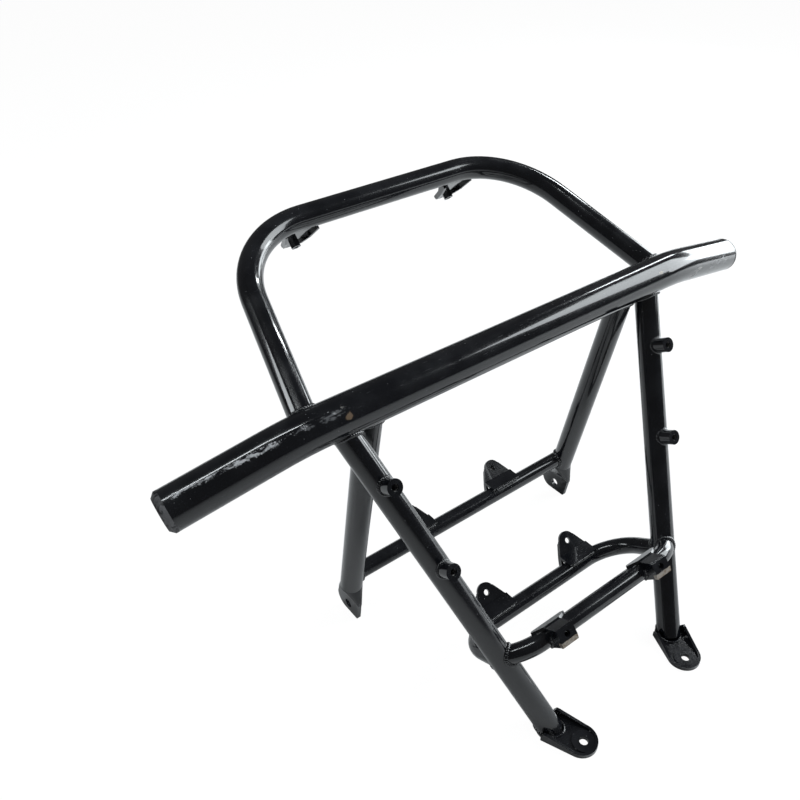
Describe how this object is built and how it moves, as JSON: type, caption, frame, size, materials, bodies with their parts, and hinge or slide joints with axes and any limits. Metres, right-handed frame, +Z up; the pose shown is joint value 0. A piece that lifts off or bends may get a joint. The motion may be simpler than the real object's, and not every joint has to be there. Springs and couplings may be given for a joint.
{
  "type": "tubular vehicle bumper",
  "caption": "Welded tubular steel front bumper for an all terrain vehicle: bent main bar, leaning upper hoop, splayed legs, bowed lower tubes, tabs, brackets and bolt-down feet.",
  "frame": {"origin": "on the floor under the middle of the object's outer size", "axes": "+Z up, +X along the main bar toward the end that the row names right, -Y to the front of the vehicle; left and right mirror across X = 0"},
  "size_m": [0.731, 0.47, 0.4342],
  "materials": {
    "gloss_black_paint": "gloss black paint with dust, scuffs and chips",
    "black_plastic": "black plastic, scuffed",
    "painted_nut": "black paint over steel, worn at the corners"
  },
  "bodies": {
    "root": {"main_bar": "gloss_black_paint", "end_cap_left": "black_plastic", "end_cap_right": "black_plastic", "upper_hoop": "gloss_black_paint", "hoop_tab_left": "gloss_black_paint", "hoop_tab_right": "gloss_black_paint", "hoop_nut_left": "painted_nut", "hoop_nut_right": "painted_nut", "front_leg_left": "gloss_black_paint", "front_leg_right": "gloss_black_paint", "front_foot_left": "gloss_black_paint", "front_foot_right": "gloss_black_paint", "upper_boss_left": "gloss_black_paint", "upper_boss_right": "gloss_black_paint", "lower_boss_left": "gloss_black_paint", "lower_boss_right": "gloss_black_paint", "rear_leg_left": "gloss_black_paint", "rear_leg_right": "gloss_black_paint", "front_bowed_tube": "gloss_black_paint", "bracket_left": "gloss_black_paint", "bracket_right": "gloss_black_paint", "bracket_nut_left": "painted_nut", "bracket_nut_right": "painted_nut", "rear_bowed_tube": "gloss_black_paint", "back_tab_left": "gloss_black_paint", "back_tab_right": "gloss_black_paint", "rear_cross_tube": "gloss_black_paint", "cross_tab_left": "gloss_black_paint", "cross_tab_right": "gloss_black_paint", "cross_nut_left": "painted_nut", "cross_nut_right": "painted_nut"}
  },
  "joints": []
}
